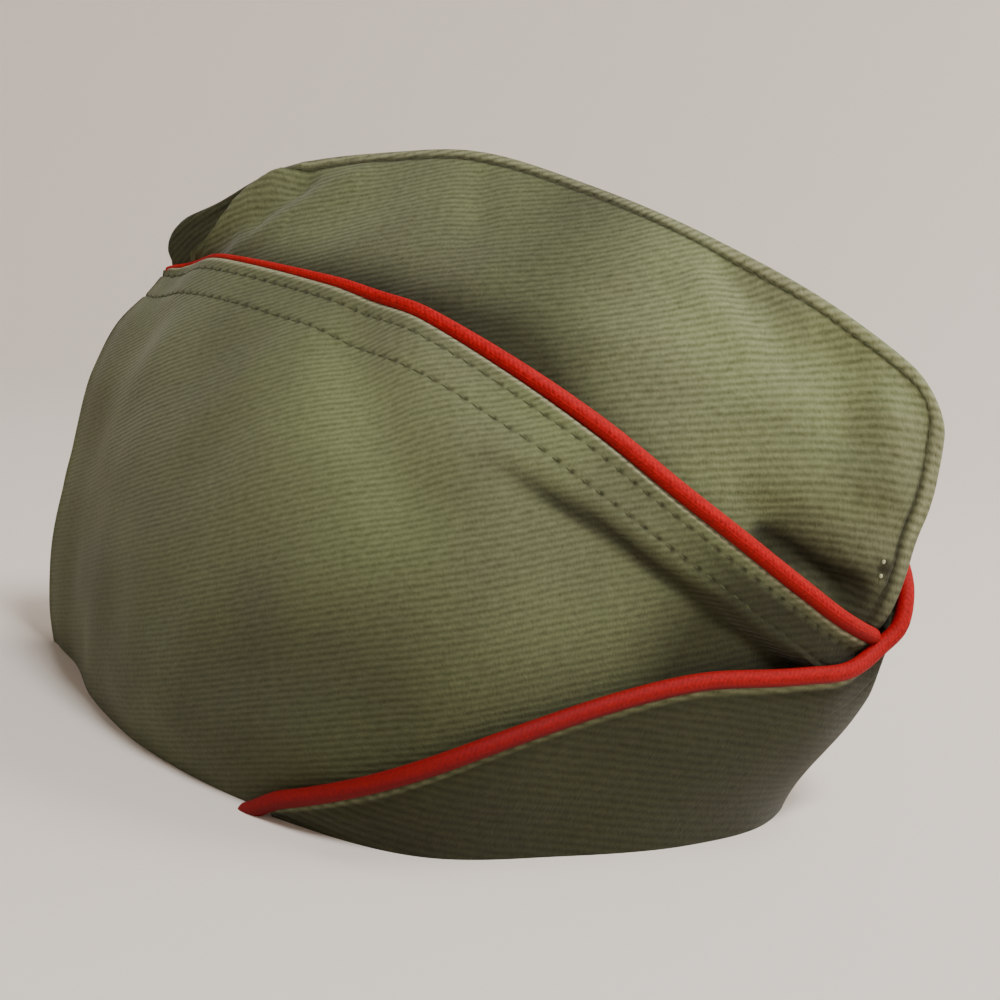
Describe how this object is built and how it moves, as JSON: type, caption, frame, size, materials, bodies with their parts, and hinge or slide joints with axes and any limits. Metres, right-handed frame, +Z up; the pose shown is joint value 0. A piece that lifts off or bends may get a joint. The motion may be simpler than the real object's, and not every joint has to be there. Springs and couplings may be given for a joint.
{
  "type": "garrison cap",
  "caption": "Soft folding cap of ribbed cloth with a pointed crown, turned-up curtains that cross at the front, and a red cord along their edges.",
  "frame": {"origin": "on the surface that the rim rests on, below the middle of the cap", "axes": "+Z up from the rim, +X to the cap's front, +Y to the wearer's left"},
  "size_m": [0.2316, 0.1666, 0.146],
  "materials": {
    "crown_cloth": "ribbed cotton twill, washed",
    "curtain_cloth": "ribbed cotton twill, washed",
    "edge_cord": "woven edge cord"
  },
  "bodies": {
    "root": {"crown_right": "crown_cloth", "crown_left": "crown_cloth", "curtain_right": "curtain_cloth", "curtain_left": "curtain_cloth", "piping_right": "edge_cord", "piping_left": "edge_cord"}
  },
  "joints": []
}
